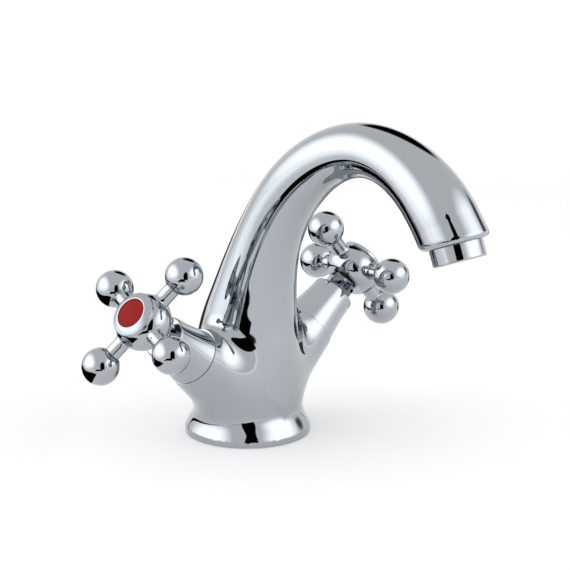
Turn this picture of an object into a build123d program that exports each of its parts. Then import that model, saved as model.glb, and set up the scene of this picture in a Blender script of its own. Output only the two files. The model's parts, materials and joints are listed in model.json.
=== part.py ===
from build123d import *
import os
from math import cos, pi, radians, sin

# Two-handle basin mixer. Sizes are in millimetres.
# Origin: centre of the foot's underside. +Z is up, the spout points to -Y, hot is at -X, cold at +X.

# Foot and lower body, turned about the vertical axis
FOOT_R = 27.5
FOOT_BAND_Z = 2.2
FLARE_Z = 6.2
WAIST_R = 22.7
WAIST_Z = 11.4
BELLY_R = 23.4
BELLY_Z = 30.0
SHOULDER_R = 20.5
SHOULDER_Z = 53.0
FOOT_SLOPE = 6.0
SHOULDER_SLOPE = 4.0

# Column and spout centreline: distance forward, height and outer radius at each station
CHEST_FORWARD = 3.2
CHEST_Z = 61.5
CHEST_R = 18.5
THROAT_FORWARD = 6.3
THROAT_Z = 70.0
THROAT_R = 17.0
NECK_FORWARD = 15.0
NECK_Z = 92.0
NECK_R = 14.1
RISE_FORWARD = 32.0
RISE_Z = 116.0
RISE_R = 12.7
CREST_FORWARD = 74.0
CREST_Z = 135.2
CREST_R = 11.3
FALL_FORWARD = 98.6
FALL_Z = 127.6
FALL_R = 12.7
OUTLET_FORWARD = 119.6
OUTLET_Z = 104.8
OUTLET_R = 14.5
OUTLET_LIP_FILLET = 1.6
OUTLET_STRAIGHT = 8.0
OUTLET_NECK_R = 13.9
SPOUT_END_ANGLE = 34.0
JET_ANGLE = 21.0
SPOUT_SECTIONS = 18

# Waterways in the casting
CAST_WALL = 3.0
MIXING_FLOOR_Z = 45.0
MIXING_PORT_R = 3.5
MIXING_PORT_X = 9.0
OUTLET_BORE_R = 7.5
FOOT_RECESS_R = 18.5
FOOT_RECESS_DEPTH = 9.0
INLET_SPACING = 20.0
INLET_THREAD_R = 4.5
INLET_THREAD_LENGTH = 10.0
INLET_FEED_R = 3.4
STUD_BACK = 12.0
STUD_THREAD_R = 3.4
STUD_THREAD_LENGTH = 14.0

# Base seal
SEAL_RING_R = 24.8
SEAL_RING_BORE_R = 21.0
SEAL_RING_THICKNESS = 2.0

# Valve axes: they cross at this height, rise outwards and are swept a little forward
VALVE_CROSSING_Z = 14.1
VALVE_TILT = 37.25
VALVE_SWEEP = 3.0

# Branch of the casting, along its valve axis from the crossing point
BRANCH_ROOT = 12.0
BRANCH_ROOT_R = 16.8
MOUTH = 43.5
MOUTH_STEP = 0.2
BRANCH_FILLET = 5.0
SEAT = 20.0
SEAT_BORE_R = 4.0
SEAT_BORE_DEPTH = 6.0
THREAD_R = 8.33
COUNTERBORE_STEP = 1.67
COUNTERBORE_DEPTH = 1.4

# Headwork: the valve cartridge in the branch
NOSE_R = 7.0
NOSE_BORE_R = 5.8
NOSE_GAP = 0.5
NOSE_LENGTH = 11.0
WINDOW_WIDTH = 6.0
WINDOW_HEIGHT = 4.5
COLLAR_STEP = 0.6
COLLAR_LENGTH = 2.0
HEX_ACROSS_FLATS = 16.0
HEX_SIDES = 6
HEX_LENGTH = 4.0
HEADWORK_NECK_R = 6.0
SLEEVE_R = 4.8
SEAT_SEAL_LENGTH = 2.2
DISC_R = 5.5
DISC_THICKNESS = 2.8
DISC_PORT_R = 4.4
DISC_PORT_BORE_R = 1.6
DISC_PORT_ANGLE = 80.0
DRIVE_PLATE_THICKNESS = 2.5
TANG_WIDTH = 3.0
TANG_DEPTH = 1.2
TANG_LENGTH = 10.0
SPINDLE_R = 3.6
SPINDLE_RING_SECTION_R = 0.65
SPINDLE_RING_START = 6.0
SPINDLE_RING_PITCH = 5.0
CLIP_R = 4.5
CLIP_THICKNESS = 0.8
CLIP_GROOVE_DEPTH = 0.9
CLIP_MOUTH = 4.0

# Bonnet shroud and the eight-sided nut that clamps it
BONNET_LENGTH = 20.5
BONNET_TAPER = 3.0
BONNET_HOLLOW = 0.5
BONNET_WALL = 1.3
BONNET_TOP_THICKNESS = 1.8
BONNET_EDGE_FILLET = 0.9
NUT_ACROSS_FLATS = 11.8
NUT_SIDES = 8
NUT_LENGTH = 6.6
NUT_CHAMFER = 0.5
NUT_COUNTERBORE = 1.6

# Handle, measured along the valve axis from the plane of its arms
HANDLE_GAP = 0.7
HUB_BACK = 7.7
HUB_BACK_R = 9.0
HUB_R = 12.3
HUB_FRONT = 5.6
HUB_FRONT_R = 9.6
HUB_BACK_SLOPE = 0.7
HUB_FRONT_SLOPE = 0.9
HUB_RECESS_R = 7.2
HUB_RECESS_DEPTH = 2.0
HUB_WEB = 1.7
BUSH_R = 5.5
BUSH_INSET = 0.9
SERRATION_R = 3.5
SERRATION_DEPTH = 0.35
SERRATIONS = 20
SCREW_R = 2.0
SCREW_LENGTH = 9.0
SCREW_HEAD_R = 3.4
SCREW_HEAD_HEIGHT = 2.2
SCREW_SLOT = 1.0
ARM_COUNT = 4
BALL_CIRCLE_R = 25.6
BALL_R = 8.0
ARM_FOOT_R = 4.1
ARM_R = 3.4
ARM_SEAT_R = 11.0
ARM_TAPER = 3.5
ARM_SPIGOT_R = 2.0
ARM_SPIGOT_LENGTH = 4.0
HOT_REST_ANGLE = 67.2
COLD_REST_ANGLE = -95.9

# Index cap and its coloured disc
CAP_R = 9.9
CAP_RIM = 1.4
CAP_HEIGHT = 2.8
CAP_SPIGOT_LENGTH = 1.6
CAP_HOLLOW_R = 4.4
INDEX_R = 6.5
INDEX_DEPTH = 1.1
INDEX_DOME = 0.35
CAP_BEAD = 0.5
CAP_BULGE = 0.65

# Aerator
AERATOR_R = 10.9
AERATOR_LENGTH = 7.2
AERATOR_EDGE = 0.8
AERATOR_THREAD_R = 10.0
AERATOR_SOCKET_DEPTH = 8.0
AERATOR_BORE_R = 8.6
AERATOR_LIP_R = 7.8
AERATOR_LIP = 0.7
AERATOR_WASHER = 1.2
SCREEN_THICKNESS = 0.8
SCREEN_HOLE_R = 0.55
SCREEN_PITCH = 1.7
SCREEN_RINGS = 4
SCREEN_RING_HOLES = 6
INSERT_SLOTS = 8
INSERT_SLOT_WIDTH = 1.2
INSERT_CORE_R = 4.0
INSERT_RIM = 0.5

# Clearances
FIT = 0.05
RUNNING = 0.04
LOOSE = 0.3
FACE_GAP = 0.1
COLLAR_CLEARANCE = 0.6

# How far cutters run past the faces they open
CUT = 1.0
OVERRUN = 12.0

# Radii and places along the valve axis that follow from the sizes above
FLARE_R = (FOOT_R + WAIST_R) / 2
FLARE_HOLLOW_R = (WAIST_Z - FLARE_Z) ** 2 / (FOOT_R - WAIST_R)
COUNTERBORE_R = THREAD_R + COUNTERBORE_STEP
COLLAR_R = COUNTERBORE_R + COLLAR_STEP
BONNET_FOOT_R = COLLAR_R + COLLAR_CLEARANCE + BONNET_WALL
BONNET_TOP_R = BONNET_FOOT_R - BONNET_TAPER
MOUTH_R = BONNET_FOOT_R + MOUTH_STEP
BONNET_TOP = MOUTH + BONNET_LENGTH
NUT_TOP = BONNET_TOP + NUT_LENGTH
ARMS = NUT_TOP + HANDLE_GAP + HUB_BACK
NOSE_END = SEAT + NOSE_GAP
FIXED_DISC = SEAT + SEAT_SEAL_LENGTH
MOVING_DISC = FIXED_DISC + DISC_THICKNESS + FIT
DRIVE_PLATE = MOVING_DISC + DISC_THICKNESS + FIT
SPINDLE_SHOULDER = DRIVE_PLATE + DRIVE_PLATE_THICKNESS
NECK_TOP = BONNET_TOP - BONNET_TOP_THICKNESS - LOOSE
SLEEVE_TOP = NUT_TOP - NUT_COUNTERBORE
CLIP = SLEEVE_TOP + FACE_GAP
HUB_BACK_FACE = ARMS - HUB_BACK
HUB_FRONT_FACE = ARMS + HUB_FRONT
SCREW_SEAT = HUB_FRONT_FACE - HUB_RECESS_DEPTH
BUSH_TOP = SCREW_SEAT - HUB_WEB
BUSH_FOOT = HUB_BACK_FACE + BUSH_INSET
SPINDLE_TOP = BUSH_TOP - LOOSE
INDEX_FLOOR = HUB_FRONT_FACE + CAP_HEIGHT - INDEX_DEPTH
SPINDLE_BORE_R = SPINDLE_R + RUNNING
SPINDLE_RING_R = SPINDLE_R - SPINDLE_RING_SECTION_R
RING_GROOVE_R = SPINDLE_RING_R - SPINDLE_RING_SECTION_R - FIT
RING_GROOVE_WIDTH = 2 * SPINDLE_RING_SECTION_R + 2 * FACE_GAP
CLIP_GROOVE_R = SPINDLE_R - CLIP_GROOVE_DEPTH
SIDES = {"hot": -1, "cold": 1}
REST_ANGLES = {"hot": HOT_REST_ANGLE, "cold": COLD_REST_ANGLE}


def turned(*corners):
    """Solid turned about the local Z axis from the (radius, height) corners of its half section."""
    return revolve(make_face(Plane.XZ * Polyline(*corners, close=True)), Axis.Z)


def turned_outline(*curves):
    """Solid turned about the local Z axis from the joined curves of its half section."""
    outline = [Plane.XZ * edge for curve in curves for edge in curve.edges()]
    return revolve(make_face(outline), Axis.Z)


def drilled(radius, start, end):
    """Cylinder between two points, used as a cutter."""
    path = Vector(end) - Vector(start)
    return extrude(Plane(origin=start, z_dir=path) * Circle(radius), amount=path.length)


def washer(radius, bore, start, end):
    return turned((bore, start), (radius, start), (radius, end), (bore, end))


def valve_frame(side):
    """Plane whose Z runs outwards along a valve axis and whose X points to the front."""
    tilt = radians(VALVE_TILT)
    sweep = radians(VALVE_SWEEP)
    axis = Vector(SIDES[side] * cos(tilt) * cos(sweep), -cos(tilt) * sin(sweep), sin(tilt))
    front = Vector(0, -1, 0)
    return Plane(origin=(0, 0, VALVE_CROSSING_Z), x_dir=front - axis * front.dot(axis), z_dir=axis)


def jet_direction(angle):
    """Forward and downwards, at this angle from straight down."""
    return Vector(0, -sin(radians(angle)), -cos(radians(angle)))


def jet_frame():
    """Plane in the outlet face whose Z points along the water jet."""
    return Plane(origin=(0, -OUTLET_FORWARD, OUTLET_Z), x_dir=(1, 0, 0), z_dir=jet_direction(JET_ANGLE))


def spout_stations():
    """Distance forward, height and outer radius along the column and spout."""
    return [
        (0, SHOULDER_Z, SHOULDER_R),
        (CHEST_FORWARD, CHEST_Z, CHEST_R),
        (THROAT_FORWARD, THROAT_Z, THROAT_R),
        (NECK_FORWARD, NECK_Z, NECK_R),
        (RISE_FORWARD, RISE_Z, RISE_R),
        (CREST_FORWARD, CREST_Z, CREST_R),
        (FALL_FORWARD, FALL_Z, FALL_R),
    ]


def spout_end(distance, radius):
    """Station on the spout's last straight stretch, this far past the outlet face."""
    angle = radians(SPOUT_END_ANGLE)
    return OUTLET_FORWARD + distance * sin(angle), OUTLET_Z - distance * cos(angle), radius


def spout_sections():
    """Plane and outer radius of each round section, from the shoulder to the spout's straight end.

    One curve runs through the stations with the radius as its X, so centreline and radius change together.
    The sections are level at the shoulder and square to the centreline from the neck on.
    """
    stations = spout_stations() + [spout_end(-OUTLET_STRAIGHT, OUTLET_NECK_R)]
    points = [(radius, -forward, height) for forward, height, radius in stations]
    course = Spline(*points, tangents=[(-1, 0, SHOULDER_SLOPE), jet_direction(SPOUT_END_ANGLE)])
    sections = []
    for index in range(SPOUT_SECTIONS + 1):
        place = course.position_at(index / SPOUT_SECTIONS)
        along = course.tangent_at(index / SPOUT_SECTIONS)
        lean = min(1, -place.Y / NECK_FORWARD)
        normal = Vector(0, 0, 1 - lean) + Vector(0, along.Y, along.Z).normalized() * lean
        sections.append((Plane(origin=(0, place.Y, place.Z), x_dir=(1, 0, 0), z_dir=normal), place.X))
    return sections


def end_section(distance, radius):
    forward, height, radius = spout_end(distance, radius)
    plane = Plane(origin=(0, -forward, height), x_dir=(1, 0, 0), z_dir=jet_direction(SPOUT_END_ANGLE))
    return plane * Circle(radius)


def spout_outside():
    sections = [plane * Circle(radius) for plane, radius in spout_sections()]
    return loft(sections) + loft([sections[-1], end_section(OVERRUN, OUTLET_R)], ruled=True)


def spout_waterway():
    """Core of the column and spout, which narrows after the crest towards the aerator's socket."""
    floor = Plane((0, 0, MIXING_FLOOR_Z)) * Circle(SHOULDER_R - CAST_WALL)
    cored = [
        plane * Circle(radius - CAST_WALL)
        for plane, radius in spout_sections()
        if -plane.origin.Y < FALL_FORWARD
    ]
    return loft([floor] + cored + [end_section(-AERATOR_SOCKET_DEPTH / 2, OUTLET_BORE_R)], ruled=True)


def lower_body():
    """Foot, waist and belly up to the shoulder, with the seam of the turned face at the back."""
    return Rot(0, 0, 90) * turned_outline(
        Line((0, 0), (FOOT_R, 0)),
        Line((FOOT_R, 0), (FOOT_R, FOOT_BAND_Z)),
        Spline(
            (FOOT_R, FOOT_BAND_Z),
            (FLARE_R, FLARE_Z),
            (WAIST_R, WAIST_Z),
            tangents=[(-1, FOOT_SLOPE), (0, 1)],
        ),
        Spline(
            (WAIST_R, WAIST_Z),
            (BELLY_R, BELLY_Z),
            (SHOULDER_R, SHOULDER_Z),
            tangents=[(0, 1), (-1, SHOULDER_SLOPE)],
        ),
        Line((SHOULDER_R, SHOULDER_Z), (0, SHOULDER_Z)),
        Line((0, SHOULDER_Z), (0, 0)),
    )


def branch():
    return turned((0, BRANCH_ROOT), (BRANCH_ROOT_R, BRANCH_ROOT), (MOUTH_R, MOUTH), (0, MOUTH))


def valve_pocket(side):
    """Stepped bore for one headwork, with its feed from below and its port into the mixing chamber."""
    frame = valve_frame(side)
    pocket = turned(
        (0, SEAT - SEAT_BORE_DEPTH),
        (SEAT_BORE_R, SEAT - SEAT_BORE_DEPTH),
        (SEAT_BORE_R, SEAT),
        (THREAD_R, SEAT),
        (THREAD_R, MOUTH - COUNTERBORE_DEPTH),
        (COUNTERBORE_R, MOUTH - COUNTERBORE_DEPTH),
        (COUNTERBORE_R, MOUTH + OVERRUN),
        (0, MOUTH + OVERRUN),
    )
    inlet_x = SIDES[side] * INLET_SPACING / 2
    thread_top = FOOT_RECESS_DEPTH + INLET_THREAD_LENGTH
    feed_top = frame.from_local_coords(Vector(0, 0, SEAT - SEAT_BORE_DEPTH / 2)).Z
    thread = drilled(INLET_THREAD_R, (inlet_x, 0, 0), (inlet_x, 0, thread_top))
    feed = drilled(INLET_FEED_R, (inlet_x, 0, 0), (inlet_x, 0, feed_top))
    window = frame.from_local_coords(Vector(0, 0, NOSE_END + NOSE_LENGTH - WINDOW_HEIGHT))
    port_end = (SIDES[side] * MIXING_PORT_X, 0, MIXING_FLOOR_Z + CUT)
    port = drilled(MIXING_PORT_R, window, port_end)
    return frame * pocket + thread + feed + port


def casting_outside():
    """Foot, belly, branches and spout. The hollow above the foot's flare limits the fillet at the branches."""
    outside = lower_body()
    for side in SIDES:
        outside += valve_frame(side) * branch()
    junctions = [edge for edge in outside.edges() if abs(edge.center().X) > WAIST_R / 2]
    roots = [edge for edge in junctions if edge.geom_type == GeomType.BSPLINE]
    outside = fillet(roots, min(BRANCH_FILLET, FLARE_HOLLOW_R))
    outside += spout_outside()
    outside -= jet_frame() * extrude(Circle(2 * OUTLET_R), amount=2 * OVERRUN)
    outlet_face = outside.faces().sort_by_distance(jet_frame().origin)[0]
    return fillet(outlet_face.edges(), OUTLET_LIP_FILLET)


def body_casting():
    recess = drilled(FOOT_RECESS_R, (0, 0, 0), (0, 0, FOOT_RECESS_DEPTH))
    groove = washer(SEAL_RING_R + FIT, SEAL_RING_BORE_R - FIT, 0, SEAL_RING_THICKNESS)
    stud_top = FOOT_RECESS_DEPTH + STUD_THREAD_LENGTH
    stud = drilled(STUD_THREAD_R, (0, STUD_BACK, 0), (0, STUD_BACK, stud_top))
    socket = jet_frame() * Pos(0, 0, -AERATOR_SOCKET_DEPTH) * extrude(
        Circle(AERATOR_THREAD_R), amount=AERATOR_SOCKET_DEPTH + OVERRUN
    )
    casting = casting_outside() - spout_waterway() - recess - groove - stud - socket
    for side in SIDES:
        casting -= valve_pocket(side)
    return casting


def base_seal():
    return washer(SEAL_RING_R, SEAL_RING_BORE_R, 0, SEAL_RING_THICKNESS)


def disc_ports(turn):
    """Two opposite sector ports of a ceramic disc."""
    half = DISC_PORT_ANGLE / 2
    ring = Circle(DISC_PORT_R) - Circle(DISC_PORT_BORE_R)
    reach = 2 * DISC_PORT_R
    spread = reach * sin(radians(half)) / cos(radians(half))
    wedge = make_face(Polyline((0, 0), (reach, -spread), (reach, spread), close=True))
    sectors = (ring & wedge) + (ring & Rot(0, 0, 180) * wedge)
    return extrude(Rot(0, 0, turn) * sectors, amount=DISC_THICKNESS)


def fixed_disc():
    disc = washer(DISC_R + LOOSE - FIT, 0, 0, DISC_THICKNESS)
    return Pos(0, 0, FIXED_DISC) * (disc - disc_ports(0))


def moving_disc():
    disc = washer(DISC_R, 0, 0, DISC_THICKNESS) - disc_ports(90)
    slot = Pos(0, 0, DISC_THICKNESS) * Box(3 * DISC_R, TANG_WIDTH + 2 * FIT, 2 * (TANG_DEPTH + FIT))
    return Pos(0, 0, MOVING_DISC) * (disc - slot)


def seat_seal():
    return washer(DISC_R, SEAT_BORE_R, SEAT, FIXED_DISC)


def headwork_body():
    thread_start = NOSE_END + NOSE_LENGTH
    shell = turned(
        (NOSE_BORE_R, NOSE_END),
        (NOSE_R, NOSE_END),
        (NOSE_R, thread_start),
        (THREAD_R - FIT, thread_start),
        (THREAD_R - FIT, MOUTH),
        (COLLAR_R, MOUTH),
        (COLLAR_R, MOUTH + COLLAR_LENGTH),
        (HEADWORK_NECK_R, MOUTH + COLLAR_LENGTH),
        (HEADWORK_NECK_R, NECK_TOP),
        (SLEEVE_R, NECK_TOP),
        (SLEEVE_R, SLEEVE_TOP),
        (SPINDLE_BORE_R, SLEEVE_TOP),
        (SPINDLE_BORE_R, SPINDLE_SHOULDER + FACE_GAP),
        (NOSE_BORE_R, SPINDLE_SHOULDER + FACE_GAP),
    )
    hexagon = RegularPolygon(HEX_ACROSS_FLATS / 2, HEX_SIDES, major_radius=False) - Circle(SLEEVE_R)
    shell += Pos(0, 0, MOUTH + COLLAR_LENGTH) * extrude(hexagon, amount=HEX_LENGTH)
    window_z = thread_start - WINDOW_HEIGHT / 2 - FACE_GAP
    return shell - Pos(0, 0, window_z) * Box(WINDOW_WIDTH, 4 * NOSE_R, WINDOW_HEIGHT)


def headwork_o_ring():
    section_r = COUNTERBORE_DEPTH / 2
    centre_r = (THREAD_R + COUNTERBORE_R) / 2
    return Pos(0, 0, MOUTH - section_r) * Torus(centre_r, section_r - FIT / 2)


def spindle_ring_places():
    first = SPINDLE_SHOULDER + SPINDLE_RING_START
    return [first, first + SPINDLE_RING_PITCH]


def spindle_o_rings():
    ring = Torus(SPINDLE_RING_R, SPINDLE_RING_SECTION_R)
    return Compound(children=[Pos(0, 0, place) * ring for place in spindle_ring_places()])


def serrated(tip_r):
    """Star-shaped face of the serrated drive between spindle and bush."""
    corners = []
    for index in range(2 * SERRATIONS):
        radius = tip_r - SERRATION_DEPTH * (index % 2)
        angle = pi * index / SERRATIONS
        corners.append((radius * cos(angle), radius * sin(angle)))
    return make_face(Polyline(*corners, close=True))


def spindle():
    shaft_top = BUSH_FOOT - FIT
    shaft = turned(
        (0, DRIVE_PLATE),
        (DISC_R, DRIVE_PLATE),
        (DISC_R, SPINDLE_SHOULDER),
        (SPINDLE_R, SPINDLE_SHOULDER),
        (SPINDLE_R, shaft_top),
        (0, shaft_top),
    )
    for place in spindle_ring_places():
        half = RING_GROOVE_WIDTH / 2
        shaft -= washer(SPINDLE_R + CUT, RING_GROOVE_R, place - half, place + half)
    shaft -= washer(SPINDLE_R + CUT, CLIP_GROOVE_R, CLIP - FIT, CLIP + CLIP_THICKNESS + FIT)
    shaft += Pos(0, 0, shaft_top) * extrude(serrated(SERRATION_R), amount=SPINDLE_TOP - shaft_top)
    tang = Box(TANG_LENGTH, TANG_WIDTH, TANG_DEPTH, align=(Align.CENTER, Align.CENTER, Align.MAX))
    shaft += Pos(0, 0, DRIVE_PLATE + FIT) * tang
    hole_end = SCREW_SEAT - SCREW_LENGTH - CUT
    return shaft - drilled(SCREW_R + FIT, (0, 0, hole_end), (0, 0, SPINDLE_TOP + CUT))


def retaining_clip():
    ring = washer(CLIP_R, CLIP_GROOVE_R + FIT, CLIP, CLIP + CLIP_THICKNESS)
    return ring - Pos(CLIP_R, 0, CLIP) * Box(2 * CLIP_R, CLIP_MOUTH, 4 * CLIP_THICKNESS)


def bonnet_curve(inset):
    """Tapered side of the bonnet, slightly hollow, moved inwards by a wall thickness."""
    middle_r = (BONNET_TOP_R + BONNET_FOOT_R) / 2 - BONNET_HOLLOW
    return (
        (BONNET_FOOT_R - inset, MOUTH),
        (middle_r - inset, MOUTH + BONNET_LENGTH / 2),
        (BONNET_TOP_R - inset, BONNET_TOP),
    )


def bonnet():
    outside = turned_outline(
        Line((0, MOUTH), (BONNET_FOOT_R, MOUTH)),
        ThreePointArc(*bonnet_curve(0)),
        Line((BONNET_TOP_R, BONNET_TOP), (0, BONNET_TOP)),
        Line((0, BONNET_TOP), (0, MOUTH)),
    )
    top_edge = outside.edges().filter_by(GeomType.CIRCLE).sort_by(Axis.Z)[-1]
    outside = fillet(top_edge, BONNET_EDGE_FILLET)
    inside = turned_outline(
        Line((0, MOUTH), (BONNET_FOOT_R - BONNET_WALL, MOUTH)),
        ThreePointArc(*bonnet_curve(BONNET_WALL)),
        Line((BONNET_TOP_R - BONNET_WALL, BONNET_TOP), (0, BONNET_TOP)),
        Line((0, BONNET_TOP), (0, MOUTH)),
    )
    ceiling = BONNET_TOP - BONNET_TOP_THICKNESS
    inside = split(inside, Plane((0, 0, ceiling)), keep=Keep.BOTTOM)
    return outside - inside - drilled(SLEEVE_R + FIT, (0, 0, ceiling - CUT), (0, 0, BONNET_TOP + CUT))


def bonnet_nut():
    prism = Pos(0, 0, BONNET_TOP) * extrude(
        RegularPolygon(NUT_ACROSS_FLATS / 2, NUT_SIDES, major_radius=False), amount=NUT_LENGTH
    )
    corner_r = NUT_ACROSS_FLATS / 2 / cos(pi / NUT_SIDES)
    bevel = turned(
        (0, BONNET_TOP),
        (corner_r + CUT, BONNET_TOP),
        (corner_r + CUT, NUT_TOP - NUT_CHAMFER - CUT),
        (corner_r - NUT_CHAMFER, NUT_TOP),
        (0, NUT_TOP),
    )
    return (prism & bevel) - washer(SLEEVE_R + FIT, 0, BONNET_TOP - CUT, NUT_TOP + CUT)


def hub():
    outside = turned_outline(
        Line((0, HUB_BACK_FACE), (HUB_BACK_R, HUB_BACK_FACE)),
        Spline(
            (HUB_BACK_R, HUB_BACK_FACE),
            (HUB_R, ARMS),
            (HUB_FRONT_R, HUB_FRONT_FACE),
            tangents=[(1, HUB_BACK_SLOPE), (-1, HUB_FRONT_SLOPE)],
        ),
        Line((HUB_FRONT_R, HUB_FRONT_FACE), (0, HUB_FRONT_FACE)),
        Line((0, HUB_FRONT_FACE), (0, HUB_BACK_FACE)),
    )
    outside -= washer(BUSH_R + FIT, 0, HUB_BACK_FACE - CUT, BUSH_TOP)
    outside -= washer(SCREW_R + FIT, 0, BUSH_TOP - CUT, SCREW_SEAT + CUT)
    outside -= washer(HUB_RECESS_R, 0, SCREW_SEAT, HUB_FRONT_FACE + CUT)
    seat = washer(ARM_FOOT_R + FIT, 0, ARM_SEAT_R, HUB_R + CUT)
    hole = washer(ARM_SPIGOT_R + FIT, 0, ARM_SEAT_R - ARM_SPIGOT_LENGTH - LOOSE, HUB_R)
    for place in arm_places():
        outside -= place * (seat + hole)
    return outside


def arm_places():
    """Where the arms stand: their own Z axis points away from the valve axis."""
    turns = [360 / ARM_COUNT * index for index in range(ARM_COUNT)]
    return [Pos(0, 0, ARMS) * Rot(0, 0, turn) * Rot(0, 90, 0) for turn in turns]


def ball_arms():
    root = ARM_SEAT_R - ARM_SPIGOT_LENGTH
    stem = turned(
        (0, root),
        (ARM_SPIGOT_R, root),
        (ARM_SPIGOT_R, ARM_SEAT_R),
        (ARM_FOOT_R, ARM_SEAT_R),
        (ARM_R, ARM_SEAT_R + ARM_TAPER),
        (ARM_R, BALL_CIRCLE_R),
        (0, BALL_CIRCLE_R),
    )
    arm = stem + Pos(0, 0, BALL_CIRCLE_R) * Sphere(BALL_R)
    return Compound(children=[place * arm for place in arm_places()])


def hub_bush():
    bush = washer(BUSH_R, 0, BUSH_FOOT, BUSH_TOP)
    return bush - Pos(0, 0, BUSH_FOOT - CUT) * extrude(serrated(SERRATION_R + FIT), amount=BUSH_TOP)


def handle_screw():
    head_top = SCREW_SEAT + SCREW_HEAD_HEIGHT
    screw = turned(
        (0, SCREW_SEAT - SCREW_LENGTH),
        (SCREW_R, SCREW_SEAT - SCREW_LENGTH),
        (SCREW_R, SCREW_SEAT),
        (SCREW_HEAD_R, SCREW_SEAT),
        (SCREW_HEAD_R, head_top - SCREW_SLOT),
        (SCREW_HEAD_R - SCREW_SLOT, head_top),
        (0, head_top),
    )
    return screw - Pos(0, 0, head_top) * Box(3 * SCREW_HEAD_R, SCREW_SLOT, 2 * SCREW_SLOT)


def index_cap():
    """Bevelled ring with a spigot that presses into the hub and a recess for the index disc."""
    top = HUB_FRONT_FACE + CAP_HEIGHT
    rim_top = HUB_FRONT_FACE + CAP_RIM
    bead_r = INDEX_R + CAP_BEAD
    ceiling = (SCREW_SEAT + SCREW_HEAD_HEIGHT + INDEX_FLOOR) / 2
    foot = HUB_FRONT_FACE - CAP_SPIGOT_LENGTH
    bevel = ThreePointArc(
        (CAP_R, rim_top),
        (bead_r + CAP_BULGE * (CAP_R - bead_r), rim_top + CAP_BULGE * (top - rim_top)),
        (bead_r, top),
    )
    spigot_r = HUB_RECESS_R - FIT
    return turned_outline(
        Polyline((CAP_HOLLOW_R, foot), (spigot_r, foot), (spigot_r, HUB_FRONT_FACE)),
        Polyline((spigot_r, HUB_FRONT_FACE), (CAP_R, HUB_FRONT_FACE), (CAP_R, rim_top)),
        bevel,
        Polyline((bead_r, top), (INDEX_R + FIT, top), (INDEX_R + FIT, INDEX_FLOOR), (0, INDEX_FLOOR)),
        Polyline((0, INDEX_FLOOR), (0, ceiling), (CAP_HOLLOW_R, ceiling), (CAP_HOLLOW_R, foot)),
    )


def index_disc():
    """Coloured disc with a low dome."""
    top = HUB_FRONT_FACE + CAP_HEIGHT
    dome_r = (INDEX_R ** 2 + INDEX_DOME ** 2) / (2 * INDEX_DOME)
    return washer(INDEX_R, 0, INDEX_FLOOR, top) & Pos(0, 0, top - dome_r) * Sphere(dome_r)


def aerator_housing():
    thread_top = -AERATOR_SOCKET_DEPTH + AERATOR_WASHER
    thread_r = AERATOR_THREAD_R - FIT
    return turned(
        (AERATOR_BORE_R, thread_top),
        (thread_r, thread_top),
        (thread_r, 0),
        (AERATOR_R, 0),
        (AERATOR_R, AERATOR_LENGTH - AERATOR_EDGE),
        (AERATOR_R - AERATOR_EDGE, AERATOR_LENGTH),
        (AERATOR_LIP_R, AERATOR_LENGTH),
        (AERATOR_LIP_R, AERATOR_LENGTH - AERATOR_LIP),
        (AERATOR_BORE_R, AERATOR_LENGTH - AERATOR_LIP),
    )


def aerator_washer():
    top = -AERATOR_SOCKET_DEPTH
    return washer(AERATOR_THREAD_R - FIT, OUTLET_BORE_R, top, top + AERATOR_WASHER)


def aerator_insert():
    """Flow former: a cup with slots round a solid core."""
    top = -AERATOR_SOCKET_DEPTH + AERATOR_WASHER
    bottom = AERATOR_LENGTH - AERATOR_LIP - SCREEN_THICKNESS
    insert = washer(AERATOR_BORE_R - FIT, 0, top, bottom)
    slot_length = AERATOR_BORE_R - FIT - INSERT_CORE_R
    slot = Pos(INSERT_CORE_R + slot_length / 2, 0, (top + bottom) / 2) * Box(
        slot_length - 2 * INSERT_RIM, INSERT_SLOT_WIDTH, bottom - top + 2 * CUT
    )
    for index in range(INSERT_SLOTS):
        insert -= Rot(0, 0, 360 / INSERT_SLOTS * index) * slot
    return insert


def aerator_screen():
    """Round plate with rings of fine holes."""
    plate = Circle(AERATOR_BORE_R - FIT)
    holes = [Pos(0, 0) * Circle(SCREEN_HOLE_R)]
    for ring in range(1, SCREEN_RINGS + 1):
        holes += PolarLocations(ring * SCREEN_PITCH, SCREEN_RING_HOLES * ring) * Circle(SCREEN_HOLE_R)
    plate -= holes
    top = AERATOR_LENGTH - AERATOR_LIP - SCREEN_THICKNESS
    return Pos(0, 0, top) * extrude(plate, amount=SCREEN_THICKNESS)


FIXED_PIECES = {
    "headwork_body": headwork_body,
    "headwork_o_ring": headwork_o_ring,
    "seat_seal": seat_seal,
    "fixed_disc": fixed_disc,
    "bonnet": bonnet,
    "bonnet_nut": bonnet_nut,
}
TURNING_PIECES = {
    "spindle": spindle,
    "moving_disc": moving_disc,
    "spindle_o_rings": spindle_o_rings,
    "retaining_clip": retaining_clip,
    "handle_hub": hub,
    "handle_arms": ball_arms,
    "hub_bush": hub_bush,
    "handle_screw": handle_screw,
    "index_cap": index_cap,
    "index_disc": index_disc,
}
JET_PIECES = {
    "aerator_housing": aerator_housing,
    "aerator_washer": aerator_washer,
    "aerator_insert": aerator_insert,
    "aerator_screen": aerator_screen,
}


def all_nodes():
    nodes = {"body_casting": body_casting(), "base_seal": base_seal()}
    for name, make in JET_PIECES.items():
        nodes[name] = jet_frame() * make()
    for side in SIDES:
        frame = valve_frame(side)
        for name, make in FIXED_PIECES.items():
            nodes[f"{side}_{name}"] = frame * make()
        for name, make in TURNING_PIECES.items():
            nodes[f"{side}_{name}"] = frame * Rot(0, 0, REST_ANGLES[side]) * make()
    return nodes


os.makedirs("parts", exist_ok=True)
for node, shape in all_nodes().items():
    export_step(shape, f"parts/{node}.step")
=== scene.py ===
import json
from math import atan, cos, hypot, pi, radians, sin, sqrt, tan

import bmesh
import bpy
import numpy as np
from mathutils import Matrix, Vector


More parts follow.
